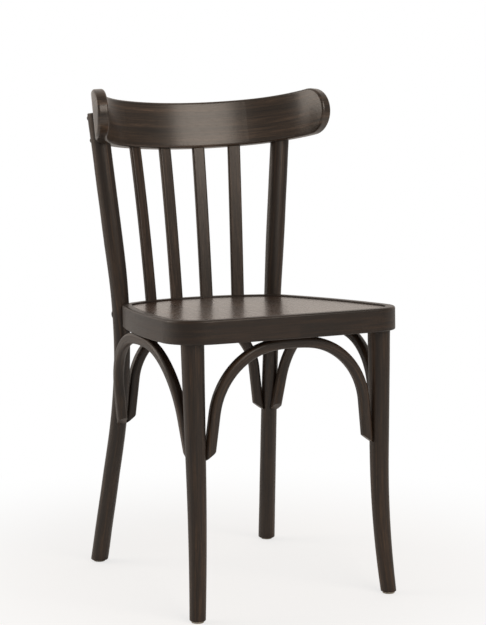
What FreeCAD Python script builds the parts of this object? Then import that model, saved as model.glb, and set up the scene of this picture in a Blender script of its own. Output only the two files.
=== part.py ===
import FreeCAD, Part
import math
import os

# A bentwood chair: a bent seat ring with a panel let into it, two turned and bent front legs,
# two long rear legs that run up as posts, a wrapped crest rail, four flat slats, and four bent
# arches that brace the legs under the seat. Millimetres, Z up, the chair faces -Y, and left and
# right are as seen from the front. Everything is built about the middle of the seat, and the
# finished chair is then moved so that the middle of its box stands on the origin.

Vector = FreeCAD.Vector
Rotation = FreeCAD.Rotation
Placement = FreeCAD.Placement

# Seat: heights are of the top of the rim
seat_height = 466.0
seat_fall = 2.05
seat_depth = 394.0
seat_front_width = 414.0
seat_rear_width = 304.0
seat_front_bow = 7.0
seat_side_bow = 15.0
seat_rear_bow = 50.0
front_corner_radius = 62.0
rear_corner_radius = 60.0
ring_height = 37.8
rim_width = 15.5
ledge_width = 20.5
rim_edge_radius = 3.5
rim_lower_radius = 2.0
rim_inner_radius = 1.2
panel_thickness = 6.0
panel_recess = 2.5
panel_gap = 0.25
panel_edge_radius = 1.0

# Front legs: each axis has two straight runs with one long bend about its knee, and its top
# stands in from the seat's side and front
front_leg_side_inset = 37.7
front_leg_front_inset = 39.1
front_knee_inward = 3.2
front_knee_forward = 13.4
front_knee_height = 120.0
front_foot_outward = 5.9
front_foot_forward = 29.2
front_bend_reach = 108.0
front_leg_top_radius = 18.3
front_foot_radius = 12.8
tenon_radius = 10.0
tenon_length = 26.0
corner_block_reach = 46.0
corner_block_height = 25.0

# Rear legs: one bent stick from the foot to the crest, notched against the seat ring, whose
# knee is just below the seat. Insets and reaches are from the seat's back and side there, and
# the post's side is from the middle of the chair, because the post's top belongs to the crest
rear_foot_outward = 14.8
rear_foot_rearward = 20.4
rear_knee_side_inset = 14.3
rear_knee_rear_inset = 45.0
rear_knee_drop = 96.0
rear_post_side = 176.8
rear_post_rear_inset = 11.8
rear_post_rise = 316.0
rear_bend_reach = 160.0
rear_foot_radius = 14.9
rear_waist_radius = 13.7
rear_post_radius = 16.3
rear_swell_rise = 94.0
foot_edge_radius = 1.6
post_edge_radius = 1.5

# Crest rail: a board bent in plan and leaned back, with half-round ends
crest_rise = 250.3
crest_setback = 30.0
crest_lean = 12.5
crest_height = 80.4
crest_thickness = 19.5
crest_middle_radius = 281.0
crest_middle_angle = 25.5
crest_wing_radius = 152.0
crest_wing_angle = 77.0
crest_tip_length = 29.0
crest_edge_radius = 4.5

# Slats: four flat sticks, tenoned into the rim and into the crest
slat_width = 22.5
slat_thickness = 8.5
slat_edge_radius = 3.0
slat_bow = 2.0
slat_inset = 8.5
slat_spots_at_seat = (29.0, 84.0)
slat_spots_at_crest = (32.6, 95.6)
slat_tenon_width = 16.0
slat_tenon_thickness = 6.0
slat_tenon_length = 16.0
slat_tenon_edge_radius = 1.0

# Arches: bent sticks of one section, from leg to leg, with their crowns under the ring
arch_depth = 18.2
arch_width = 16.6
arch_edge_radius = 6.5
arch_foot_drop = 216.0
arch_foot_slant = 13.0
arch_crown_radius = 320.0
arch_crown_angle = 5.5
arch_foot_flare = 7.0
arch_bite = 2.2
arch_crown_bite = 0.6
front_crown_inset = 27.0
side_crown_inset = 9.0
rear_crown_inset = 22.0

# Fastenings
seat_bolt_radius = 3.0
seat_bolt_head_radius = 8.0
seat_bolt_head_height = 3.5
seat_nut_width = 10.0
seat_nut_height = 5.0
seat_washer_radius = 7.0
seat_washer_thickness = 1.5
seat_bolt_end = 3.0
spot_face_depth = 1.2
spot_face_margin = 0.6
bolt_clearance = 0.25
thread_clearance = 0.05
crest_screw_radius = 2.2
crest_screw_length = 25.0
crest_screw_head_radius = 5.0
crest_screw_head_height = 4.2
crest_screw_heights = (11.0, 48.0)
arch_screw_radius = 2.0
arch_screw_length = 30.0
arch_screw_head_radius = 4.0
arch_screw_head_height = 2.4
arch_screw_rise = 14.0
screw_head_sink = 0.8
screw_slot_width = 1.0
screw_slot_depth = 1.0

# Glides under the four feet
glide_radius = 10.0
glide_thickness = 3.0
glide_edge_radius = 0.8
glide_pin_radius = 1.5
glide_pin_length = 14.0

# How far apart the rings are that a bent stick is drawn through
ring_spacing = 45.0

# A length that is past everything, for cutting tools, and one that is as good as touching
far = 600.0
touch = 0.01


def seat_placement():
    """The seat's own frame: the middle of the rim's top plane, falling towards the back."""
    return Placement(Vector(0, 0, seat_height), Rotation(Vector(1, 0, 0), -seat_fall))


def crest_placement():
    """The crest's own frame: the middle of its lower edge, with Z up along the board."""
    middle = Vector(0, seat_depth / 2 + crest_setback, seat_height + crest_rise)
    return Placement(middle, Rotation(Vector(1, 0, 0), -crest_lean))


def placed(shape, placement):
    """A copy of a shape, carried from the origin into another frame."""
    moved = shape.copy()
    moved.Placement = placement.multiply(moved.Placement)
    return moved


def arc(start, middle, end):
    return Part.Arc(start, middle, end).toShape()


def line(start, end):
    return Part.LineSegment(start, end).toShape()


def circle_through(start, middle, end):
    """The centre and radius of the circle through three points."""
    circle = arc(start, middle, end).Curve
    return circle.Center, circle.Radius


def seat_sides():
    """The circles that the seat's front, right, rear and left edges are parts of."""
    front = Vector(seat_front_width / 2, -seat_depth / 2 + seat_front_bow, 0)
    rear = Vector(seat_rear_width / 2, seat_depth / 2 - seat_rear_bow, 0)
    along = (rear - front).normalize()
    side = (front + rear) * 0.5 + Vector(along.y, -along.x, 0) * seat_side_bow
    return [
        circle_through(other_side(front), Vector(0, -seat_depth / 2, 0), front),
        circle_through(front, side, rear),
        circle_through(rear, Vector(0, seat_depth / 2, 0), other_side(rear)),
        circle_through(other_side(rear), other_side(side), other_side(front)),
    ]


def crossing(first, second, inset, near):
    """Where two circles, each drawn in by an inset, cross nearest to a point."""
    centre, radius = first[0], first[1] - inset
    apart = second[0] - centre
    reach = apart.Length
    along = (radius ** 2 - (second[1] - inset) ** 2 + reach ** 2) / (2 * reach)
    aside = math.sqrt(radius ** 2 - along ** 2)
    apart.normalize()
    middle = centre + apart * along
    square = Vector(-apart.y, apart.x, 0) * aside
    return min((middle + square, middle - square), key=lambda point: (point - near).Length)


def seat_prism(inset, height):
    """A prism on the seat's outline, drawn in by an inset: four bowed sides, rounded corners."""
    sides = seat_sides()
    front = Vector(seat_front_width / 2, -seat_depth / 2 + seat_front_bow, 0)
    rear = Vector(seat_rear_width / 2, seat_depth / 2 - seat_rear_bow, 0)
    places = [front, rear, other_side(rear), other_side(front)]
    corners = [crossing(sides[turn], sides[(turn + 1) % 4], inset, places[turn]) for turn in range(4)]
    edges = []
    for turn in range(4):
        centre, radius = sides[turn]
        start, end = corners[turn - 1], corners[turn]
        outward = ((start + end) * 0.5 - centre).normalize()
        edges.append(arc(start, centre + outward * (radius - inset), end))
    block = Part.Face(Part.Wire(edges)).extrude(Vector(0, 0, height))
    block = block.makeFillet(front_corner_radius - inset, uprights(block, corners[0::3]))
    return block.makeFillet(rear_corner_radius - inset, uprights(block, corners[1:3]))


def uprights(block, corners):
    """The upright edges of a prism that stand on the given corners."""
    found = []
    for edge in block.Edges:
        middle = edge.CenterOfMass
        if any(math.hypot(middle.x - corner.x, middle.y - corner.y) < touch for corner in corners):
            found.append(edge)
    return found


def seat_block(inset, low, high):
    """A block with the seat's outline drawn in by an inset, between two heights of its frame."""
    block = seat_prism(inset, high - low)
    block.translate(Vector(0, 0, low))
    return placed(block, seat_placement())


def seat_edge():
    """The seat's outline as a flat wire at the height of the rim, in the seat's frame."""
    return min(seat_prism(0, ring_height).Faces, key=lambda face: face.CenterOfMass.z).OuterWire


def edges_at(shape, placement, height, keep):
    """The edges that lie at one height of a frame and that a test on their middle keeps."""
    back = placement.inverse()
    found = []
    for edge in shape.Edges:
        ends = [back.multVec(vertex.Point) for vertex in edge.Vertexes]
        middle = back.multVec(edge.CenterOfMass)
        if all(abs(point.z - height) < touch for point in ends + [middle]) and keep(edge):
            found.append(edge)
    return found


def seat_ring():
    """The bent ring: a rim that shows, and a ledge inside it that carries the panel."""
    wall = rim_width + ledge_width
    rabbet = panel_recess + panel_thickness
    outer = seat_block(0, -ring_height, 0)
    rim = edges_at(outer, seat_placement(), 0, lambda edge: True)
    outer = outer.makeFillet(rim_edge_radius, rim)
    foot = edges_at(outer, seat_placement(), -ring_height, lambda edge: True)
    outer = outer.makeFillet(rim_lower_radius, foot)
    opening = seat_block(rim_width, -rabbet, rim_edge_radius)
    ring = outer.cut(opening).cut(seat_block(wall, -ring_height - rim_edge_radius, 0))
    lip = edges_at(ring, seat_placement(), 0, lambda edge: inside_rim(edge))
    return ring.makeFillet(rim_inner_radius, lip)


def inside_rim(edge):
    """True for an edge of the panel's opening, which lies inside the middle of the rim."""
    middle = seat_block(rim_width / 2, -panel_recess, panel_recess)
    return middle.isInside(edge.valueAt(edge.FirstParameter), touch, True)


def seat_panel():
    """The panel: a flat board that drops into the ring's opening and lies on its ledge."""
    top = -panel_recess
    panel = seat_block(rim_width + panel_gap, top - panel_thickness, top)
    rim = edges_at(panel, seat_placement(), top, lambda edge: True)
    return panel.makeFillet(panel_edge_radius, rim)


def blend(low, high, share):
    return low + (high - low) * share


def bent_axis(foot, knee, top, reach):
    """A stick's axis: straight up to the bend, an arc past the knee, and straight on to the top."""
    start = knee + (foot - knee).normalize() * reach
    end = knee + (top - knee).normalize() * reach
    chord = (start + end) * 0.5
    half_turn = (end - knee).getAngle(knee - start) / 2
    radius = reach / math.tan(half_turn)
    sagitta = radius * (1 - math.cos(half_turn))
    middle = chord + (knee - chord).normalize() * sagitta
    return [line(foot, start), arc(start, middle, end), line(end, top)]


def stations(axis, count):
    """Evenly spaced places along an axis, as points and directions."""
    whole = sum(edge.Length for edge in axis)
    found = []
    for step in range(count + 1):
        left = whole * step / count
        for run in axis:
            if left <= run.Length or run is axis[-1]:
                break
            left -= run.Length
        value = run.getParameterByLength(min(left, run.Length))
        found.append((run.valueAt(value), run.tangentAt(value)))
    return found


def section_rotation(along, across):
    """A rotation that turns Z along the stick and keeps X near the direction across it."""
    up = Vector(along).normalize()
    side = Vector(across) - up * up.dot(across)
    side.normalize()
    return Rotation(side, up.cross(side), up, "ZXY")


def round_stick(axis, radius_at, top_turn):
    """A round bent stick: circles square to the axis, the lowest level and the top one turned."""
    count = round(sum(edge.Length for edge in axis) / ring_spacing)
    places = stations(axis, count)
    turns = [section_rotation(along, Vector(1, 0, 0)) for centre, along in places]
    turns[0] = Rotation()
    turns[-1] = top_turn or turns[-1]
    rings = []
    for (centre, along), turn in zip(places, turns):
        circle = Part.Circle(Vector(0, 0, 0), Vector(0, 0, 1), radius_at(centre.z)).toShape()
        circle.Placement = Placement(centre, turn)
        rings.append(Part.Wire([circle]))
    return Part.makeLoft(rings, True, False)


def where_at(start, end, height):
    """The point on a straight run at a height in the seat's own frame."""
    low = seat_placement().inverse().multVec(start).z
    high = seat_placement().inverse().multVec(end).z
    return start + (end - start) * ((height - low) / (high - low))


def front_leg_axis():
    """The right front leg's axis: nearly straight down to the knee, then flared outwards."""
    x = seat_front_width / 2 - front_leg_side_inset
    y = front_leg_front_inset - seat_depth / 2
    foot = Vector(x + front_foot_outward, y - front_foot_forward, glide_thickness)
    knee = Vector(x - front_knee_inward, y - front_knee_forward, front_knee_height)
    shoulder = where_at(knee, Vector(x, y, seat_height), -ring_height)
    return bent_axis(foot, knee, shoulder, front_bend_reach)


def front_leg_radius(height):
    return blend(front_foot_radius, front_leg_top_radius, height / (seat_height - ring_height))


def rear_leg_axis():
    """The right rear leg's axis: raked below the seat and leaned back above it."""
    x, y = seat_rear_width / 2, seat_depth / 2
    foot = Vector(x + rear_foot_outward, y + rear_foot_rearward, glide_thickness)
    knee = Vector(x - rear_knee_side_inset, y - rear_knee_rear_inset, seat_height - rear_knee_drop)
    top = Vector(rear_post_side, y - rear_post_rear_inset, seat_height + rear_post_rise)
    return bent_axis(foot, knee, top, rear_bend_reach)


def rear_leg_radius(height):
    """The rear leg's radius: slimmest at the knee, and full from a little above the seat."""
    knee = seat_height - rear_knee_drop
    if height < knee:
        return blend(rear_foot_radius, rear_waist_radius, height / knee)
    share = (height - knee) / (rear_knee_drop + rear_swell_rise)
    return blend(rear_waist_radius, rear_post_radius, min(share, 1))


def point_at_height(axis, height):
    """The point where an axis passes one height."""
    level = Part.makePlane(2 * far, 2 * far, Vector(-far, -far, height))
    for edge in axis:
        meeting = edge.section(level).Vertexes
        if meeting:
            return meeting[0].Point
    raise ValueError("the axis does not pass this height")


def rounded_foot(leg):
    """Rounds the edge of a leg's level foot, which stands on its glide."""
    rim = [edge for edge in leg.Edges if edge.BoundBox.ZMax < glide_thickness + touch]
    return leg.makeFillet(foot_edge_radius, rim)


def above_ring_foot():
    """A tool that holds everything above the plane of the ring's underside."""
    box = Part.makeBox(2 * far, 2 * far, far, Vector(-far, -far, -ring_height))
    return placed(box, seat_placement())


def front_tenon():
    """The right front leg's tenon: a round pin on the leg's axis that starts inside the leg."""
    shoulder, along = stations(front_leg_axis(), 1)[-1]
    return Part.makeCylinder(tenon_radius, tenon_radius + tenon_length, shoulder - along * tenon_radius, along)


def front_leg():
    """The right front leg: a shoulder under the ring, and a tenon up into the ring and block."""
    body = round_stick(front_leg_axis(), front_leg_radius, seat_placement().Rotation)
    return rounded_foot(body).fuse(front_tenon())


def rear_leg():
    """The right rear leg and post: notched against the ring, and lapped behind the crest."""
    body = rounded_foot(round_stick(rear_leg_axis(), rear_leg_radius, None))
    crown = max(body.Edges, key=lambda edge: edge.CenterOfMass.z)
    body = body.makeFillet(post_edge_radius, [crown])
    body = body.cut(seat_block(0, -ring_height, 0))
    return body.cut(ahead_of_crest_back())


def corner_block():
    """The right front corner block, glued into the ring's corner round the leg's tenon."""
    wall = rim_width + ledge_width
    low = -ring_height + (ring_height - panel_recess - panel_thickness - corner_block_height) / 2
    block = seat_block(wall, low, low + corner_block_height)
    corner = Vector(seat_front_width / 2 - wall, -seat_depth / 2 + wall, 0)
    inward = Vector(-1, 1, 0).normalize()
    wedge = Part.makeBox(far, far, 2 * far, Vector(-far / 2, -far, -far))
    turn = Rotation(Vector(0, 0, 1), 45)
    wedge.Placement = Placement(corner + inward * corner_block_reach, turn)
    return block.common(placed(wedge, seat_placement()))


def crest_points(offset):
    """Points and angles of half the crest's plan, at an offset towards the back."""
    turn_one = math.radians(crest_middle_angle)
    turn_two = math.radians(crest_wing_angle)
    middle_centre = -crest_middle_radius
    joint = Vector(math.sin(turn_one), math.cos(turn_one), 0)
    wing_centre = Vector(0, middle_centre, 0) + joint * (crest_middle_radius - crest_wing_radius)
    outer_middle = crest_middle_radius + offset
    outer_wing = crest_wing_radius + offset
    half_turn = (turn_one + turn_two) / 2
    tip_along = Vector(math.cos(turn_two), -math.sin(turn_two), 0)
    start = Vector(0, middle_centre + outer_middle, 0)
    shoulder = Vector(0, middle_centre, 0) + joint * outer_middle
    wing = wing_centre + Vector(math.sin(half_turn), math.cos(half_turn), 0) * outer_wing
    elbow = wing_centre + Vector(math.sin(turn_two), math.cos(turn_two), 0) * outer_wing
    tip = elbow + tip_along * crest_tip_length
    return start, shoulder, wing, elbow, tip, tip_along


def other_side(point):
    return Vector(-point.x, point.y, point.z)


def crest_line(offset):
    """The crest's plan curve from the left tip to the right tip, at an offset to the back."""
    start, shoulder, wing, elbow, tip, tip_along = crest_points(offset)
    return [
        line(other_side(tip), other_side(elbow)),
        arc(other_side(elbow), other_side(wing), other_side(shoulder)),
        arc(other_side(shoulder), start, shoulder),
        arc(shoulder, wing, elbow),
        line(elbow, tip),
    ]


def crest_tip_tool():
    """What the half-round end takes off the right end of the crest, in the crest's frame."""
    tip, tip_along = crest_points(0)[4:]
    radius = crest_height / 2
    outward = Vector(-tip_along.y, tip_along.x, 0)
    turn = Rotation(tip_along, Vector(0, 0, 1), tip_along.cross(Vector(0, 0, 1)), "XYZ")
    depth = 4 * crest_thickness
    block = Part.makeBox(2 * radius, 2 * crest_height, depth, Vector(-radius, -crest_height, -depth / 2))
    drum = Part.makeCylinder(radius, depth, Vector(-radius, 0, -depth / 2))
    tool = block.cut(drum)
    tool.Placement = Placement(tip + Vector(0, 0, radius), turn)
    return tool


def mirrored_x(shape):
    return shape.mirror(Vector(0, 0, 0), Vector(1, 0, 0))


def crest_rail():
    """The crest: a bent board with half-round ends and softened edges."""
    back = crest_line(crest_thickness / 2)
    front = crest_line(-crest_thickness / 2)
    ends = [
        line(back[0].Vertexes[0].Point, front[0].Vertexes[0].Point),
        line(back[-1].Vertexes[-1].Point, front[-1].Vertexes[-1].Point),
    ]
    board = Part.Face(Part.Wire(Part.__sortEdges__(back + front + ends))).extrude(Vector(0, 0, crest_height))
    tool = crest_tip_tool()
    board = board.cut(tool).cut(mirrored_x(tool))
    board = board.makeFillet(crest_edge_radius, [edge for edge in board.Edges if is_arris(board, edge)])
    return placed(board, crest_placement())


def is_arris(shape, edge):
    """True for an edge where two faces meet at an angle, not one where they run on smoothly."""
    faces = shape.ancestorsOfType(edge, Part.Face)
    if len(faces) != 2:
        return False
    middle = edge.valueAt((edge.FirstParameter + edge.LastParameter) / 2)
    normals = []
    for face in faces:
        u, v = face.Surface.parameter(middle)
        normals.append(face.normalAt(u, v))
    return normals[0].getAngle(normals[1]) > 0.2


def ahead_of_crest_back():
    """A tool that holds everything ahead of the crest's back, from its lower edge up."""
    back = crest_line(crest_thickness / 2)
    left, right = back[0].Vertexes[0].Point, back[-1].Vertexes[-1].Point
    ahead = Vector(0, -far, 0)
    edges = back + [line(right, right + ahead), line(right + ahead, left + ahead), line(left + ahead, left)]
    face = Part.Face(Part.Wire(Part.__sortEdges__(edges)))
    return placed(face.extrude(Vector(0, 0, far)), crest_placement())


def slat_ends(index):
    """Where a right-hand slat meets the rim and the crest, and how far it is turned at each."""
    rear = Vector(seat_rear_width / 2, seat_depth / 2 - seat_rear_bow, 0)
    radius = (rear.x ** 2 + seat_rear_bow ** 2) / (2 * seat_rear_bow)
    inner = radius - slat_inset
    turn_low = math.asin(slat_spots_at_seat[index] / inner)
    low = Vector(inner * math.sin(turn_low), seat_depth / 2 - radius + inner * math.cos(turn_low), 0)
    turn_high = math.asin(slat_spots_at_crest[index] / crest_middle_radius)
    high = Vector(slat_spots_at_crest[index], crest_middle_radius * (math.cos(turn_high) - 1), 0)
    return (seat_placement().multVec(low), turn_low, crest_placement().multVec(high), turn_high)


def rounded_rectangle(width, thickness, radius):
    """A flat wire in the XY plane: a rectangle with rounded corners about the origin."""
    x, y = width / 2, thickness / 2
    edges = []
    for turn in range(4):
        half = (x, y) if turn % 2 == 0 else (y, x)
        spin = Rotation(Vector(0, 0, 1), 90 * turn)
        corner = Vector(half[0] - radius, half[1] - radius, 0)
        middle = radius * math.sqrt(0.5)
        start = corner + Vector(radius, 0, 0)
        half_way = corner + Vector(middle, middle, 0)
        end = corner + Vector(0, radius, 0)
        following = Vector(-(half[0] - radius), half[1], 0)
        edges.append(arc(*[spin.multVec(point) for point in (start, half_way, end)]))
        edges.append(line(spin.multVec(end), spin.multVec(following)))
    return Part.Wire(edges)


def slat(index):
    """A right-hand slat: a flat stick that turns a little as it rises, with a tenon each end."""
    low, turn_low, high, turn_high = slat_ends(index)
    along = high - low
    bow = Vector(-math.sin(turn_low), -math.cos(turn_low), 0) * slat_bow
    overrun = slat_edge_radius / along.Length
    sections = round(along.Length / ring_spacing)
    wires = []
    for step in range(sections + 1):
        share = blend(-overrun, 1 + overrun, step / sections)
        centre = low + along * share + bow * (4 * share * (1 - share))
        turn = blend(turn_low, turn_high, share)
        wires.append(section_wire(slat_width, slat_thickness, slat_edge_radius, centre, along, turn))
    body = Part.makeLoft(wires, True, False)
    body = body.cut(below_rim()).cut(above_crest_edge())
    return body.fuse(slat_tenons(index))


def section_wire(width, thickness, radius, centre, along, turn):
    """A rounded rectangle square to a stick, with its width turned about the vertical."""
    across = Vector(math.cos(turn), -math.sin(turn), 0)
    wire = rounded_rectangle(width, thickness, radius)
    wire.Placement = Placement(centre, section_rotation(along, across))
    return wire


def slat_tenons(index):
    """Both tenons of a slat, each started a little inside the stick."""
    low, turn_low, high, turn_high = slat_ends(index)
    along = (high - low).normalize()
    root = slat_thickness
    tenons = []
    for end, turn, way in ((low, turn_low, -1), (high, turn_high, 1)):
        start = end - along * (root * way)
        wire = section_wire(slat_tenon_width, slat_tenon_thickness, slat_tenon_edge_radius, start, along, turn)
        tenons.append(Part.Face(wire).extrude(along * (way * (root + slat_tenon_length))))
    return tenons


def below_rim():
    """A tool that holds everything below the plane of the rim's top."""
    box = Part.makeBox(2 * far, 2 * far, far, Vector(-far, -far, -far))
    return placed(box, seat_placement())


def above_crest_edge():
    """A tool that holds everything above the plane of the crest's lower edge."""
    box = Part.makeBox(2 * far, 2 * far, far, Vector(-far, -far, 0))
    return placed(box, crest_placement())


def arch_frame(foot_left, foot_right, crown):
    """An arch's own frame: its crown is the origin, X runs along its span and Z up its plane."""
    across = (foot_right - foot_left).normalize()
    middle = (foot_left + foot_right) * 0.5
    up = crown - middle
    up = up - across * up.dot(across)
    height = up.Length
    up.normalize()
    return Placement(crown, Rotation(across, up.cross(across), up, "ZXY")), height


def arch_line(half_span, height):
    """The arch's axis in its frame: up a flared limb, a shoulder, the crown, and down again."""
    turn, flare = math.radians(arch_crown_angle), math.radians(arch_foot_flare)
    rise = arch_crown_bite - arch_depth / 2
    drop = arch_crown_radius * (1 - math.cos(turn))
    reach = arch_crown_radius * math.sin(turn)
    spread = (height + rise - drop) * math.tan(flare)
    shoulder = (half_span - reach - spread) / (1 / math.cos(flare) - math.sin(turn) - math.cos(turn) * math.tan(flare))
    centre = Vector(reach - shoulder * math.sin(turn), 0, rise - drop - shoulder * math.cos(turn))

    def on_shoulder(angle):
        return centre + Vector(math.sin(angle), 0, math.cos(angle)) * shoulder

    crown, joint = Vector(0, 0, rise), on_shoulder(turn)
    spring = on_shoulder(math.pi / 2 - flare)
    middle = on_shoulder((turn + math.pi / 2 - flare) / 2)
    toe = arch_foot_slant * math.tan(flare)
    foot = Vector(half_span + toe, 0, -height - arch_foot_slant)
    return Part.Wire([
        line(other_side(foot), other_side(spring)),
        arc(other_side(spring), other_side(middle), other_side(joint)),
        arc(other_side(joint), crown, joint),
        arc(joint, middle, spring),
        line(spring, foot),
    ])


def arch_foot_tool(half_span, height):
    """What the slanted cut takes off the arch's right foot: lowest beside the leg."""
    outer = half_span + arch_depth / 2
    inner = half_span - arch_depth / 2
    corners = [
        Vector(outer + arch_depth, -arch_width, -height - arch_foot_slant),
        Vector(inner - arch_depth, -arch_width, -height + 2 * arch_foot_slant),
        Vector(inner - arch_depth, -arch_width, -height - far / 4),
        Vector(outer + arch_depth, -arch_width, -height - far / 4),
    ]
    edges = [line(corners[turn - 1], corners[turn]) for turn in range(4)]
    return Part.Face(Part.Wire(edges)).extrude(Vector(0, 2 * arch_width, 0))


def arch_spots():
    """For each arch: its two legs' axes at the arch's feet, their radii, and its crown."""
    foot_height = seat_height - arch_foot_drop
    front = point_at_height(front_leg_axis(), foot_height)
    rear = point_at_height(rear_leg_axis(), foot_height)
    front_radius = front_leg_radius(foot_height)
    rear_radius = rear_leg_radius(foot_height)
    under = -ring_height
    side_y = (front.y + rear.y) / 2
    side_x = side_of_seat(side_y) - side_crown_inset
    front_crown = seat_placement().multVec(Vector(0, -seat_depth / 2 + front_crown_inset, under))
    rear_crown = seat_placement().multVec(Vector(0, seat_depth / 2 - rear_crown_inset, under))
    right_crown = seat_placement().multVec(Vector(side_x, side_y, under))
    return {
        "front": (other_side(front), front, front_radius, front_radius, front_crown),
        "rear": (other_side(rear), rear, rear_radius, rear_radius, rear_crown),
        "right": (front, rear, front_radius, rear_radius, right_crown),
    }


def side_of_seat(y):
    """How far the seat's right edge is from its middle, at one place from front to back."""
    ray = line(Vector(0, y, 0), Vector(far, y, 0))
    return seat_edge().distToShape(ray)[1][0][0].x


def arch_layout(name):
    """An arch's frame, height, half span on its axis, and the trim at its left foot."""
    foot_left, foot_right, radius_left, radius_right, crown = arch_spots()[name]
    along = (foot_right - foot_left).normalize()
    face_left = foot_left + along * (radius_left - arch_bite)
    face_right = foot_right - along * (radius_right - arch_bite)
    frame, height = arch_frame(face_left, face_right, crown)
    middle = frame.inverse().multVec((face_left + face_right) * 0.5)
    frame = frame.multiply(Placement(Vector(middle.x, 0, 0), Rotation()))
    half_span = (face_right - face_left).Length / 2 - arch_depth / 2
    return frame, height, half_span


def arch(name):
    """One arch: swept along its axis, cut on the slant at its feet, and coped to the legs."""
    frame, height, half_span = arch_layout(name)
    path = arch_line(half_span, height)
    profile = rounded_rectangle(arch_depth, arch_width, arch_edge_radius)
    flare = Rotation(Vector(0, 1, 0), arch_foot_flare)
    profile = placed(profile, Placement(path.OrderedVertexes[0].Point, flare))
    stick = path.makePipeShell([profile], True, False)
    tool = arch_foot_tool(half_span, height)
    stick = placed(stick.cut(tool).cut(mirrored_x(tool)), frame)
    return stick.cut(above_ring_foot())


def turned_part(points):
    """A solid of revolution about Z from a closed outline of (radius, height) corners."""
    corners = [Vector(radius, 0, height) for radius, height in points]
    edges = [line(corners[turn - 1], corners[turn]) for turn in range(len(corners))]
    return Part.Face(Part.Wire(edges)).revolve(Vector(0, 0, 0), Vector(0, 0, 1), 360)


def dome(radius, height):
    """A low dome that stands on the XY plane and rises along -Z."""
    ball_radius = (radius ** 2 + height ** 2) / (2 * height)
    ball = Part.makeSphere(ball_radius, Vector(0, 0, ball_radius - height))
    return ball.cut(Part.makeBox(2 * far, 2 * far, far, Vector(-far, -far, 0)))


def dome_screw(head_radius, head_height, radius, length):
    """A wood screw along Z: a slotted domed head below the plane, and a pointed shank above."""
    shank = turned_part([(0, 0), (radius, 0), (radius, length - 2 * radius), (0, length)])
    slot = Part.makeBox(2 * head_radius, screw_slot_width, 2 * screw_slot_depth)
    slot.translate(Vector(-head_radius, -screw_slot_width / 2, -head_height - screw_slot_depth))
    return dome(head_radius, head_height).cut(slot).fuse(shank)


def aimed(shape, start, along):
    """A shape moved from the origin to a start, with its Z turned along a direction."""
    return placed(shape, Placement(start, section_rotation(along, Vector(0.0, 0.0, 1.0))))


def drilled(shape, tools):
    """A shape with the room that fastenings and tenons take cut out of it."""
    for tool in tools:
        if shape.BoundBox.intersect(tool.BoundBox):
            shape = shape.cut(tool)
    return shape


def both_sides(shape):
    return [mirrored_x(shape), shape]


def arch_leg_screws(name):
    """The screws through an arch's feet into its legs, with their heads inside the arch."""
    frame, height, half_span = arch_layout(name)
    screw = dome_screw(arch_screw_head_radius, arch_screw_head_height, arch_screw_radius, arch_screw_length)
    start = Vector(half_span - arch_depth / 2 + screw_head_sink, 0, arch_foot_slant + arch_screw_rise - height)
    right = placed(screw, Placement(start, Rotation(Vector(0, 1, 0), 90)))
    return [placed(shape, frame) for shape in (right, turned_over(right))]


def turned_over(shape):
    """A copy of a shape turned half a turn about Z."""
    copy = shape.copy()
    copy.rotate(Vector(0, 0, 0), Vector(0, 0, 1), 180)
    return copy


def arch_ring_screw(name):
    """The screw up through an arch's crown into the ring."""
    frame, height, half_span = arch_layout(name)
    screw = dome_screw(arch_screw_head_radius, arch_screw_head_height, arch_screw_radius, arch_screw_length)
    start = Vector(0, 0, arch_crown_bite - arch_depth + screw_head_sink)
    return placed(screw, frame.multiply(Placement(start, Rotation())))


def crest_screws():
    """The right pair of screws through the post's tongue into the crest, heads behind."""
    screw = dome_screw(crest_screw_head_radius, crest_screw_head_height, crest_screw_radius, crest_screw_length)
    found = []
    for rise in crest_screw_heights:
        axis = post_axis_point(rise)
        local = crest_placement().inverse().multVec(axis)
        turn = math.asin(local.x / crest_middle_radius)
        back = crest_placement().Rotation.multVec(Vector(math.sin(turn), math.cos(turn), 0))
        start = axis + back * (rear_post_radius - screw_head_sink)
        found.append(aimed(screw, start, back * (-1)))
    return found


def post_axis_point(rise):
    """The point of the right post's axis at a height above the crest's lower edge."""
    level = Part.makePlane(2 * far, 2 * far, Vector(-far, -far, rise))
    return rear_leg_axis()[2].section(placed(level, crest_placement())).Vertexes[0].Point


def seat_bolt_layout():
    """The right seat bolt's start, its direction, and the length from its head to the washer."""
    middle = -ring_height / 2
    level = Part.makePlane(2 * far, 2 * far, Vector(-far, -far, middle))
    level = placed(level, seat_placement())
    axis = [edge.section(level).Vertexes for edge in rear_leg_axis()]
    point = [found for found in axis if found][0][0].Point
    local = seat_placement().inverse().multVec(point)
    flat = Vector(local.x, local.y, 0)
    gap, pairs = seat_edge().distToShape(Part.Vertex(flat))[:2]
    inward = (pairs[0][0] - flat).normalize()
    radius = rear_leg_radius(point.z)
    start = seat_placement().multVec(local - inward * (radius - spot_face_depth))
    stack = radius - spot_face_depth + gap + rim_width + ledge_width - spot_face_depth
    return start, seat_placement().Rotation.multVec(inward), stack


def seat_bolt():
    """The right seat bolt: a domed head behind the leg, and a shank through leg and ring."""
    start, along, stack = seat_bolt_layout()
    length = stack + seat_washer_thickness + seat_nut_height + seat_bolt_end
    shank = Part.makeCylinder(seat_bolt_radius, length)
    return aimed(dome(seat_bolt_head_radius, seat_bolt_head_height).fuse(shank), start, along)


def seat_bolt_room():
    """The hole for the right seat bolt, with a flat spot at each end."""
    start, along, stack = seat_bolt_layout()
    hole = Part.makeCylinder(seat_bolt_radius + bolt_clearance, stack)
    head = Part.makeCylinder(seat_bolt_head_radius + spot_face_margin, far / 10, Vector(0, 0, -far / 10))
    nut = Part.makeCylinder(seat_washer_radius + spot_face_margin, far / 10, Vector(0, 0, stack))
    return aimed(hole.fuse([head, nut]), start, along)


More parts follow.
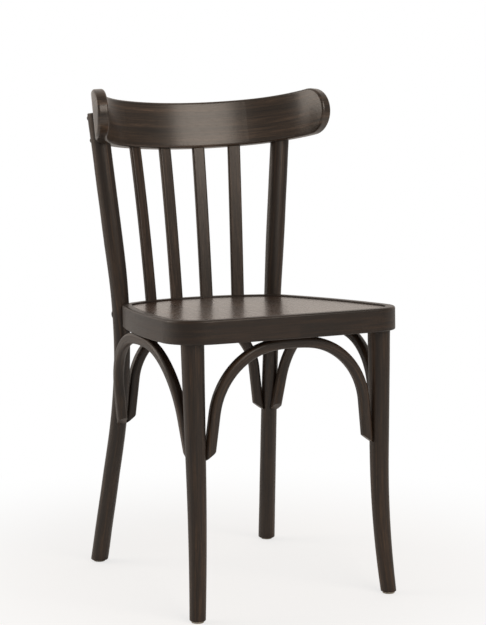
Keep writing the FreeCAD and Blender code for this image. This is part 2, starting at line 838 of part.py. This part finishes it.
def seat_washer():
    start, along, stack = seat_bolt_layout()
    ring = Part.makeCylinder(seat_washer_radius, seat_washer_thickness)
    ring = ring.cut(Part.makeCylinder(seat_bolt_radius + bolt_clearance, seat_washer_thickness))
    return aimed(ring, start + along * stack, along)


def seat_nut():
    start, along, stack = seat_bolt_layout()
    across = seat_nut_width / math.sqrt(3)
    corners = [Vector(across, 0, 0)]
    for turn in range(6):
        corners.append(Rotation(Vector(0, 0, 1), 60 * (turn + 1)).multVec(corners[0]))
    nut = Part.Face(Part.makePolygon(corners)).extrude(Vector(0, 0, seat_nut_height))
    nut = nut.cut(Part.makeCylinder(seat_bolt_radius + thread_clearance, seat_nut_height))
    return aimed(nut, start + along * (stack + seat_washer_thickness), along)


def glide(axis):
    """A foot glide: a disc with a pin up into the leg."""
    point = point_at_height(axis, glide_thickness)
    disc = Part.makeCylinder(glide_radius, glide_thickness)
    disc = disc.makeFillet(glide_edge_radius, [min(disc.Edges, key=lambda edge: edge.BoundBox.ZMax)])
    pin = Part.makeCylinder(glide_pin_radius, glide_thickness / 2 + glide_pin_length, Vector(0, 0, glide_thickness / 2))
    whole = disc.fuse(pin)
    whole.translate(Vector(point.x, point.y, 0))
    return whole


def chair():
    """Every piece of the chair by name, about the middle of the seat."""
    pieces = {}
    right_front, right_rear = front_leg(), rear_leg()
    front_glide, rear_glide = glide(front_leg_axis()), glide(rear_leg_axis())
    bolt, bolt_room = seat_bolt(), seat_bolt_room()
    back_screws = crest_screws()
    arches = {"front_arch": arch("front"), "rear_arch": arch("rear"), "right_arch": arch("right")}
    leg_screws = {"front": arch_leg_screws("front"), "rear": arch_leg_screws("rear")}
    side_screws = arch_leg_screws("right")
    ring_screws = [arch_ring_screw(name) for name in ("front", "rear")]
    ring_screws += both_sides(arch_ring_screw("right"))
    foot_screws = leg_screws["front"] + leg_screws["rear"]
    foot_screws += side_screws + [mirrored_x(screw) for screw in side_screws]
    slats = [slat(0), slat(1)]
    tenons = [tenon for index in (0, 1) for tenon in slat_tenons(index)]
    tenons += [mirrored_x(tenon) for tenon in tenons]
    pins = both_sides(front_tenon())
    rooms = both_sides(bolt_room)

    pieces["seat_ring"] = drilled(seat_ring(), tenons + pins + rooms + ring_screws)
    pieces["seat_panel"] = seat_panel()
    block = drilled(corner_block(), pins)
    front = drilled(right_front, foot_screws + [front_glide])
    rear = drilled(right_rear, foot_screws + [rear_glide, bolt_room] + back_screws)
    name_pair(pieces, "corner_block", block)
    name_pair(pieces, "front_leg", front)
    name_pair(pieces, "rear_leg", rear)
    crest_tools = back_screws + [mirrored_x(screw) for screw in back_screws]
    pieces["crest_rail"] = drilled(crest_rail(), tenons + crest_tools)
    pieces["back_slat_1"] = mirrored_x(slats[1])
    pieces["back_slat_2"] = mirrored_x(slats[0])
    pieces["back_slat_3"] = slats[0]
    pieces["back_slat_4"] = slats[1]
    legs = both_sides(right_front) + both_sides(right_rear)
    for name, stick in arches.items():
        pieces[name] = drilled(drilled(stick, legs), foot_screws + ring_screws)
    pieces["left_arch"] = mirrored_x(pieces["right_arch"])
    pieces["crest_screws"] = group(crest_tools)
    pieces["arch_foot_screws"] = group(foot_screws)
    pieces["arch_crown_screws"] = group(ring_screws)
    pieces["seat_bolts"] = group(both_sides(bolt))
    pieces["seat_bolt_washers"] = group(both_sides(seat_washer()))
    pieces["seat_bolt_nuts"] = group(both_sides(seat_nut()))
    name_pair(pieces, "front_glide", front_glide)
    name_pair(pieces, "rear_glide", rear_glide)
    return pieces


def name_pair(pieces, name, right):
    pieces[name + "_left"] = mirrored_x(right)
    pieces[name + "_right"] = right


def group(shapes):
    return Part.makeCompound(shapes)


def main():
    pieces = chair()
    box = Part.makeCompound(list(pieces.values())).optimalBoundingBox(False, False)
    shift = Vector(0, -(box.YMin + box.YMax) / 2, 0)
    os.makedirs("parts", exist_ok=True)
    for name, shape in pieces.items():
        shape.translate(shift)
        shape.exportStep("parts/" + name + ".step")
    print("moved by", round(shift.y, 2), "size", [round(v, 1) for v in (box.XLength, box.YLength, box.ZMax)])


main()
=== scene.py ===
import math

import bpy
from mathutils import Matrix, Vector

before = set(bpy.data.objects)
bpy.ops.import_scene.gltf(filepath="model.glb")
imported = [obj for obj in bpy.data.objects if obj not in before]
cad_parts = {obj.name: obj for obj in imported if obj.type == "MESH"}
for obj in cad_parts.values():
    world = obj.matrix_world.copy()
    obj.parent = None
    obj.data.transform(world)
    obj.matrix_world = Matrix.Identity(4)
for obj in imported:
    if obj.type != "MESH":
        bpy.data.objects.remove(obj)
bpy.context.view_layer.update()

scene = bpy.context.scene
bpy.ops.object.select_all(action="DESELECT")


# Colours and nodes

def colour(hex_value):
    """A shader's linear colour from an sRGB hex value."""
    channels = [int(hex_value[place:place + 2], 16) / 255 for place in (1, 3, 5)]
    linear = [value / 12.92 if value <= 0.04045 else ((value + 0.055) / 1.055) ** 2.4 for value in channels]
    return (*linear, 1.0)


def fill(tree, node, inputs):
    """Fills a node's inputs, by name or in order, with values, sockets or other nodes' first outputs."""
    named = inputs if isinstance(inputs, dict) else dict(enumerate(inputs))
    for name, value in named.items():
        source = value.outputs[0] if isinstance(value, bpy.types.Node) else value
        if isinstance(source, bpy.types.NodeSocket):
            tree.links.new(source, node.inputs[name])
        else:
            node.inputs[name].default_value = source


def add(tree, kind, inputs=(), stops=(), **settings):
    """Adds a node with its settings, its inputs and, for a colour ramp, its (position, hex) stops."""
    node = tree.nodes.new("ShaderNode" + kind)
    for name, value in settings.items():
        setattr(node, name, value)
    fill(tree, node, inputs)
    if stops:
        elements = node.color_ramp.elements
        while len(elements) < len(stops):
            elements.new(0.5)
        for element, (position, value) in zip(elements, stops):
            element.position = position
            element.color = colour(value)
    return node


def new_material(name):
    """An empty material with a shader and its output."""
    material = bpy.data.materials.new(name)
    material.use_nodes = True
    tree = material.node_tree
    tree.nodes.clear()
    shader = add(tree, "BsdfPrincipled")
    add(tree, "OutputMaterial", {"Surface": shader})
    return material, tree, shader


# How the grain runs in each kind of piece: every function gives the run along the grain and two
# distances across it, in metres

def axes(tree):
    """The object's X, Y and Z in metres."""
    place = add(tree, "TexCoord").outputs["Object"]
    return add(tree, "SeparateXYZ", {"Vector": place}).outputs[:3]


def diagonal(tree, aside, above):
    """The distance that two distances square to each other make."""
    squares = [add(tree, "Math", (side, side), operation="MULTIPLY") for side in (aside, above)]
    return add(tree, "Math", (add(tree, "Math", squares, operation="ADD"),), operation="SQRT")


def past(tree, value, limit):
    """How far a value is past a limit, and nothing before it."""
    over = add(tree, "Math", (value, limit), operation="SUBTRACT")
    return add(tree, "Math", (over, 0), operation="MAXIMUM")


def two_runs(tree, height, places, fold):
    """How far aside a stick's axis lies at a height: two straight runs that meet at its knee."""
    runs = []
    for (low, start), (high, end) in zip(places, places[1:]):
        slope = (end - start) / (high - low)
        runs.append(add(tree, "Math", (height, slope, start - slope * low), operation="MULTIPLY_ADD"))
    return add(tree, "Math", runs, operation=fold)


# Where the legs' axes lie, as (height, distance from the middle) at the foot, the knee and the top
front_leg_sides = ((0, 0.1752), (0.12, 0.1661), (0.466, 0.1693))
front_leg_fronts = ((0, -0.2137), (0.12, -0.1979), (0.466, -0.1845))
rear_leg_sides = ((0, 0.1668), (0.37, 0.1377), (0.782, 0.1768))
rear_leg_backs = ((0, 0.1907), (0.37, 0.1254), (0.782, 0.1586))

# The slats: how much they lean back and fan out as they rise
slat_lean = 0.2
slat_fan = 0.5
slat_meeting = 1.3

# The arches: the radius and height of their shoulders, half the flat at each crown, and how far the
# side arches sit ahead of the middle and lean outwards
arch_shoulder = 0.12
arch_spring_height = 0.31
cross_arch_flat = 0.025
side_arch_flat = 0.03
side_arch_middle = 0.026
side_arch_lean = 0.16

# The crest: how far ahead of the chair's middle its bend is centred, the radius of the bend, how much
# the board leans back, and how little of the pattern its thickness takes
crest_centre = 0.08
crest_bend = 0.26
crest_lean = 0.216
crest_depth_share = 0.1

# The ring: how far ahead its middle is, its narrowing to the back, its bend, its fall to the back,
# and the flat runs between its corners
ring_middle = 0.02
ring_side_taper = 0.14
ring_run_taper = 0.15
ring_bend = 0.2
ring_fall = 0.036
ring_flat_aside = 0.12
ring_flat_ahead = 0.135


def grain_of_front_leg(tree):
    """Along the front legs, which splay from the knee 120 mm above the floor."""
    x, y, z = axes(tree)
    aside = two_runs(tree, z, front_leg_sides, "MAXIMUM")
    ahead = two_runs(tree, z, front_leg_fronts, "MINIMUM")
    side = add(tree, "Math", (x,), operation="ABSOLUTE")
    across = add(tree, "Math", (side, aside), operation="SUBTRACT")
    return z, across, add(tree, "Math", (y, ahead), operation="SUBTRACT")


def grain_of_rear_leg(tree):
    """Along the rear legs and posts, which bend at the knee below the seat."""
    x, y, z = axes(tree)
    aside = two_runs(tree, z, rear_leg_sides, "MAXIMUM")
    behind = two_runs(tree, z, rear_leg_backs, "MAXIMUM")
    side = add(tree, "Math", (x,), operation="ABSOLUTE")
    across = add(tree, "Math", (side, aside), operation="SUBTRACT")
    return z, across, add(tree, "Math", (y, behind), operation="SUBTRACT")


def grain_of_slat(tree):
    """Up the slats, which lean back by a fifth of their height and fan out a little."""
    x, y, z = axes(tree)
    fan = add(tree, "Math", (z, -slat_fan, slat_meeting), operation="MULTIPLY_ADD")
    across = add(tree, "Math", (x, fan), operation="MULTIPLY")
    return z, across, add(tree, "Math", (z, -slat_lean, y), operation="MULTIPLY_ADD")


def grain_round_arch(tree, along, height, flat):
    """Round an arch: up one limb, over the shoulder and down the other."""
    side = add(tree, "Math", (along,), operation="ABSOLUTE")
    aside = past(tree, side, flat)
    above = past(tree, height, arch_spring_height)
    turn = add(tree, "Math", (above, aside), operation="ARCTAN2")
    limb = add(tree, "Math", (height, arch_spring_height), operation="MINIMUM")
    crown = add(tree, "Math", (side, flat), operation="MINIMUM")
    bend = add(tree, "Math", (turn, arch_shoulder), operation="MULTIPLY")
    straight = add(tree, "Math", (limb, crown), operation="SUBTRACT")
    return add(tree, "Math", (bend, straight), operation="ADD"), diagonal(tree, aside, above)


def grain_of_cross_arch(tree):
    """Round the front and rear arches, which stand across the chair."""
    x, y, z = axes(tree)
    run, reach = grain_round_arch(tree, x, z, cross_arch_flat)
    return run, reach, y


def grain_of_side_arch(tree):
    """Round the side arches, which stand along the chair and lean outwards as they rise."""
    x, y, z = axes(tree)
    along = add(tree, "Math", (y, side_arch_middle), operation="ADD")
    run, reach = grain_round_arch(tree, along, z, side_arch_flat)
    side = add(tree, "Math", (x,), operation="ABSOLUTE")
    lean = add(tree, "Math", (z, side_arch_lean), operation="MULTIPLY")
    return run, reach, add(tree, "Math", (side, lean), operation="SUBTRACT")


def grain_of_crest(tree):
    """Round the crest's bend, level with its lower edge, with little of its depth."""
    x, y, z = axes(tree)
    depth = add(tree, "Math", (y, crest_centre), operation="ADD")
    reach = diagonal(tree, x, depth)
    turn = add(tree, "Math", (x, depth), operation="ARCTAN2")
    run = add(tree, "Math", (turn, crest_bend), operation="MULTIPLY")
    lean = add(tree, "Math", (y, crest_lean, z), operation="MULTIPLY_ADD")
    return run, lean, add(tree, "Math", (reach, crest_depth_share), operation="MULTIPLY")


def grain_of_ring(tree):
    """Round the seat ring, level with its rim."""
    x, y, z = axes(tree)
    from_middle = add(tree, "Math", (y, ring_middle), operation="ADD")
    side = add(tree, "Math", (x,), operation="ABSOLUTE")
    side = add(tree, "Math", (y, ring_side_taper, side), operation="MULTIPLY_ADD")
    aside = past(tree, side, ring_flat_aside)
    ahead = past(tree, add(tree, "Math", (from_middle,), operation="ABSOLUTE"), ring_flat_ahead)
    taper = add(tree, "Math", (y, ring_run_taper, 1.0), operation="MULTIPLY_ADD")
    bend = add(tree, "Math", (taper, ring_bend), operation="MULTIPLY")
    turn = add(tree, "Math", (x, from_middle), operation="ARCTAN2")
    run = add(tree, "Math", (turn, bend), operation="MULTIPLY")
    return run, add(tree, "Math", (y, ring_fall, z), operation="MULTIPLY_ADD"), diagonal(tree, aside, ahead)


def grain_of_panel(tree):
    """From the front of the panel to its back."""
    x, y, z = axes(tree)
    return y, x, z


# Woods: lengths and widths of the patterns are in millimetres. The flecks of real beech are
# finer than these pores, which are as coarse as they need to be to show

streak_length = 260
fibre_length, fibre_width = 70, 2.2
pore_length, pore_width = 11, 0.9
patch_length, patch_width = 160, 90
millimetres = 1000
pore_colour = "#17110d"
lacquer_roughness = 0.22
lacquer_ior = 1.45
grain_relief = 0.0003


def stretched(tree, runs, length, width, shift):
    """The grain's own axes, scaled so that one cell of a pattern has a given length and width."""
    scales = (millimetres / length, millimetres / width, millimetres / width)
    scaled = []
    for run, scale in zip(runs, scales):
        scaled.append(add(tree, "Math", (run, scale, shift), operation="MULTIPLY_ADD"))
    return add(tree, "CombineXYZ", scaled)


def stained_wood(name, grain, tones, roughness, lacquer, streak_width, shift):
    """Beech under a dark walnut stain and a satin lacquer: soft dark and light streaks along the
    grain, fine short pores, a stain that took unevenly, and a skin that the grain shows through."""
    material, tree, shader = new_material(name)
    runs = grain(tree)
    bands = add(tree, "TexNoise", {
        "Vector": stretched(tree, runs, streak_length, streak_width, shift),
        "Scale": 1.0, "Detail": 4.0, "Roughness": 0.62, "Distortion": 0.35,
    })
    fibres = add(tree, "TexNoise", {
        "Vector": stretched(tree, runs, fibre_length, fibre_width, shift),
        "Scale": 1.0, "Detail": 3.0, "Roughness": 0.6,
    })
    flecks = add(tree, "TexNoise", {
        "Vector": stretched(tree, runs, pore_length, pore_width, shift),
        "Scale": 1.0, "Detail": 1.0,
    })
    patches = add(tree, "TexNoise", {
        "Vector": stretched(tree, runs, patch_length, patch_width, shift),
        "Scale": 1.0, "Detail": 2.0,
    })
    streaks = add(tree, "Math", (bands, 0.6), operation="MULTIPLY")
    mixed = add(tree, "Math", (fibres, 0.4, streaks), operation="MULTIPLY_ADD")
    tone = add(tree, "ValToRGB", {"Fac": mixed}, stops=tones)
    pore = add(tree, "MapRange", {
        "Value": flecks, "From Min": 0.56, "From Max": 0.7, "To Min": 0.0, "To Max": 0.55,
    })
    darker = add(tree, "Mix", {"Factor": pore, 6: tone, 7: colour(pore_colour)}, data_type="RGBA")
    uneven = add(tree, "MapRange", {
        "Value": patches, "From Min": 0.3, "From Max": 0.7, "To Min": 0.78, "To Max": 1.22,
    })
    worn = add(tree, "HueSaturation", {"Color": darker.outputs[2], "Value": uneven})
    duller = add(tree, "Math", (pore, 0.12, roughness - 0.08), operation="MULTIPLY_ADD")
    gloss = add(tree, "Math", (fibres, 0.16, duller), operation="MULTIPLY_ADD")
    raised = add(tree, "Math", (fibres, 0.5), operation="MULTIPLY")
    relief = add(tree, "Math", (pore, -0.8, raised), operation="MULTIPLY_ADD")
    bump = add(tree, "Bump", {"Height": relief, "Strength": 0.35, "Distance": grain_relief})
    fill(tree, shader, {
        "Base Color": worn, "Roughness": gloss, "Normal": bump, "IOR": lacquer_ior,
        "Coat Weight": lacquer, "Coat Roughness": lacquer_roughness,
    })
    return material


crest_tones = ((0.34, "#1a130e"), (0.46, "#2a2119"), (0.54, "#382c22"), (0.68, "#564538"))
ring_tones = ((0.34, "#120c08"), (0.47, "#1e150e"), (0.56, "#291d14"), (0.7, "#35271b"))
leg_tones = ((0.34, "#150e09"), (0.46, "#221810"), (0.54, "#2f2217"), (0.66, "#483524"))
slat_tones = ((0.34, "#1c140f"), (0.46, "#2a2018"), (0.54, "#372b22"), (0.68, "#4a3c31"))
panel_tones = ((0.34, "#24180f"), (0.47, "#33241a"), (0.56, "#402e22"), (0.68, "#523e2f"))
raw_tones = ((0.3, "#a97a4c"), (0.5, "#bd8e5e"), (0.7, "#cfa678"))

# Each wood's grain, tones, roughness, share of lacquer, width of its streaks and place in the pattern
front_leg_beech = stained_wood("stained_beech_front_leg", grain_of_front_leg, leg_tones, 0.42, 0.1, 6.0, 3.1)
rear_leg_beech = stained_wood("stained_beech_rear_leg", grain_of_rear_leg, leg_tones, 0.42, 0.2, 6.0, 7.7)
slat_beech = stained_wood("stained_beech_slat", grain_of_slat, slat_tones, 0.38, 0.2, 6.0, 1.3)
cross_arch_beech = stained_wood(
    "stained_beech_cross_arch", grain_of_cross_arch, leg_tones, 0.42, 0.15, 6.0, 5.2
)
side_arch_beech = stained_wood("stained_beech_side_arch", grain_of_side_arch, leg_tones, 0.42, 0.15, 6.0, 9.4)
crest_beech = stained_wood("stained_beech_crest", grain_of_crest, crest_tones, 0.35, 0.5, 9.0, 2.6)
ring_beech = stained_wood("stained_beech_ring", grain_of_ring, ring_tones, 0.42, 0.1, 9.0, 4.9)
panel_veneer = stained_wood("stained_plywood_panel", grain_of_panel, panel_tones, 0.27, 0.2, 12.0, 6.3)
block_beech = stained_wood("raw_beech_block", grain_of_panel, raw_tones, 0.6, 0.0, 8.0, 8.8)


# Metal and plastic

def browned_steel():
    """Screws and bolts of steel with a baked brown-black oxide: dark, half dull, and brighter
    where a driver rubbed."""
    material, tree, shader = new_material("browned_steel")
    place = add(tree, "TexCoord").outputs["Object"]
    patches = add(tree, "TexNoise", {"Vector": place, "Scale": 700.0, "Detail": 3.0})
    oxide_tones = ((0.35, "#2c2724"), (0.55, "#3b3530"), (0.72, "#6b645c"))
    oxide = add(tree, "ValToRGB", {"Fac": patches}, stops=oxide_tones)
    rubbed = add(tree, "Math", (patches, 0.3, 0.25), operation="MULTIPLY_ADD")
    grit = add(tree, "TexNoise", {"Vector": place, "Scale": 2500.0, "Detail": 2.0})
    bump = add(tree, "Bump", {"Height": grit, "Strength": 0.2, "Distance": 0.0001})
    fill(tree, shader, {"Base Color": oxide, "Roughness": rubbed, "Normal": bump, "Metallic": 1.0})
    return material


def glide_polythene():
    """Glides of moulded polythene: greyish white, waxy, scuffed and darker towards the floor."""
    material, tree, shader = new_material("moulded_polythene_glide")
    x, y, z = axes(tree)
    place = add(tree, "CombineXYZ", (x, y, z))
    scuffs = add(tree, "TexNoise", {"Vector": place, "Scale": 450.0, "Detail": 4.0})
    # Darker in the lowest 3 mm of the glide, towards the floor, on top of the random scuffs
    near_floor = add(tree, "MapRange", {
        "Value": z, "From Min": 0.0, "From Max": 0.003, "To Min": 0.35, "To Max": 0.0,
    })
    scuffed = add(tree, "Math", (scuffs, 0.5), operation="MULTIPLY")
    scuffs_and_low_darkening = add(tree, "Math", (near_floor, scuffed), operation="ADD")
    glide_tones = ((0.2, "#c9c4b8"), (0.45, "#a39c8e"), (0.8, "#6e675c"))
    glide_colour = add(tree, "ValToRGB", {"Fac": scuffs_and_low_darkening}, stops=glide_tones)
    dull = add(tree, "Math", (scuffs, 0.3, 0.4), operation="MULTIPLY_ADD")
    bump = add(tree, "Bump", {"Height": scuffs, "Strength": 0.25, "Distance": 0.0002})
    fill(tree, shader, {"Base Color": glide_colour, "Roughness": dull, "Normal": bump})
    return material


steel = browned_steel()
polythene = glide_polythene()

finishes = {
    "front_leg": front_leg_beech,
    "rear_leg": rear_leg_beech,
    "back_slat": slat_beech,
    "front_arch": cross_arch_beech,
    "rear_arch": cross_arch_beech,
    "left_arch": side_arch_beech,
    "right_arch": side_arch_beech,
    "crest_rail": crest_beech,
    "seat_ring": ring_beech,
    "seat_panel": panel_veneer,
    "corner_block": block_beech,
    "crest_screws": steel,
    "arch_foot_screws": steel,
    "arch_crown_screws": steel,
    "seat_bolt": steel,
    "front_glide": polythene,
    "rear_glide": polythene,
}
for name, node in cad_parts.items():
    finish = next(material for start, material in finishes.items() if name.startswith(start))
    for place in range(len(node.material_slots)):
        node.material_slots[place].link = "OBJECT"
        node.material_slots[place].material = finish


# Floor, light and camera

floor_radius = 30
floor_corners = 96
shadow_near, shadow_far = 0.2, 0.9
plain_share = 0.7


def white_floor():
    """A matt white studio floor that keeps the chair's shadow near it and runs out to plain white."""
    material, tree, shader = new_material("studio_floor")
    x, y, z = axes(tree)
    fade = add(tree, "MapRange", {
        "Value": diagonal(tree, x, y), "From Min": shadow_near, "From Max": shadow_far, "To Min": plain_share,
    }, interpolation_type="SMOOTHSTEP")
    in_sight = add(tree, "LightPath").outputs["Is Camera Ray"]
    seen = add(tree, "Math", (in_sight, fade), operation="MULTIPLY")
    fill(tree, shader, {"Base Color": colour("#f1f3f5"), "Roughness": 0.9})
    glow = add(tree, "Emission", {"Color": colour("#ffffff"), "Strength": 1.0})
    either = add(tree, "MixShader", (seen, shader, glow))
    fill(tree, tree.nodes["Material Output"], {"Surface": either})
    return material


bpy.ops.mesh.primitive_circle_add(
    vertices=floor_corners, radius=floor_radius, fill_type="NGON", location=(0, 0, 0)
)
floor = bpy.context.object
floor.name = "studio_floor"
floor.data.materials.append(white_floor())

# The studio: warm white walls, dim in front and bright behind, and plain white to the camera
world = bpy.data.worlds.new("studio")
scene.world = world
world.use_nodes = True
sky = world.node_tree
sky.nodes.clear()
towards = add(sky, "SeparateXYZ", {"Vector": add(sky, "TexCoord").outputs["Generated"]})
behind = add(sky, "MapRange", {
    "Value": towards.outputs["Y"], "From Min": -0.1, "From Max": 0.6, "To Min": 0.3, "To Max": 0.86,
})
seen = add(sky, "LightPath").outputs["Is Camera Ray"]
strength = add(sky, "Math", (behind, seen), operation="MAXIMUM")
tint = add(sky, "Mix", {"Factor": seen, 6: colour("#fff4ea"), 7: colour("#ffffff")}, data_type="RGBA")
studio = add(sky, "Background", {"Color": tint.outputs[2], "Strength": strength})
add(sky, "OutputWorld", {"Surface": studio})


def softbox(name, place, aim, size, power):
    """A rectangular studio lamp, slightly warm, that faces a point."""
    lamp = bpy.data.lights.new(name, "AREA")
    lamp.shape = "RECTANGLE"
    lamp.size, lamp.size_y = size
    lamp.energy = power
    lamp.color = colour("#fff2e4")[:3]
    holder = bpy.data.objects.new(name, lamp)
    scene.collection.objects.link(holder)
    holder.location = place
    holder.rotation_euler = (Vector(aim) - Vector(place)).to_track_quat("-Z", "Y").to_euler()
    holder.visible_camera = False


softbox("front_softbox", (0.5, -2.5, 2.1), (0, 0, 0.6), (2.3, 1.5), 48)
softbox("left_softbox", (-2.3, 1.5, 1.5), (0, 0, 0.45), (1.6, 1.8), 26)

frame_height = 625
focal_length = 1801
sensor_size = 36
camera_place = (-1.3802, -2.6485, 0.8386)
camera_fall = 7.404
camera_turn = -27.817

lens = bpy.data.cameras.new("camera")
camera = bpy.data.objects.new("camera", lens)
scene.collection.objects.link(camera)
scene.camera = camera
lens.sensor_width = sensor_size
lens.lens = focal_length / frame_height * sensor_size
camera.location = camera_place
camera.rotation_euler = (math.radians(90 - camera_fall), 0, math.radians(camera_turn))
scene.view_settings.view_transform = "Standard"
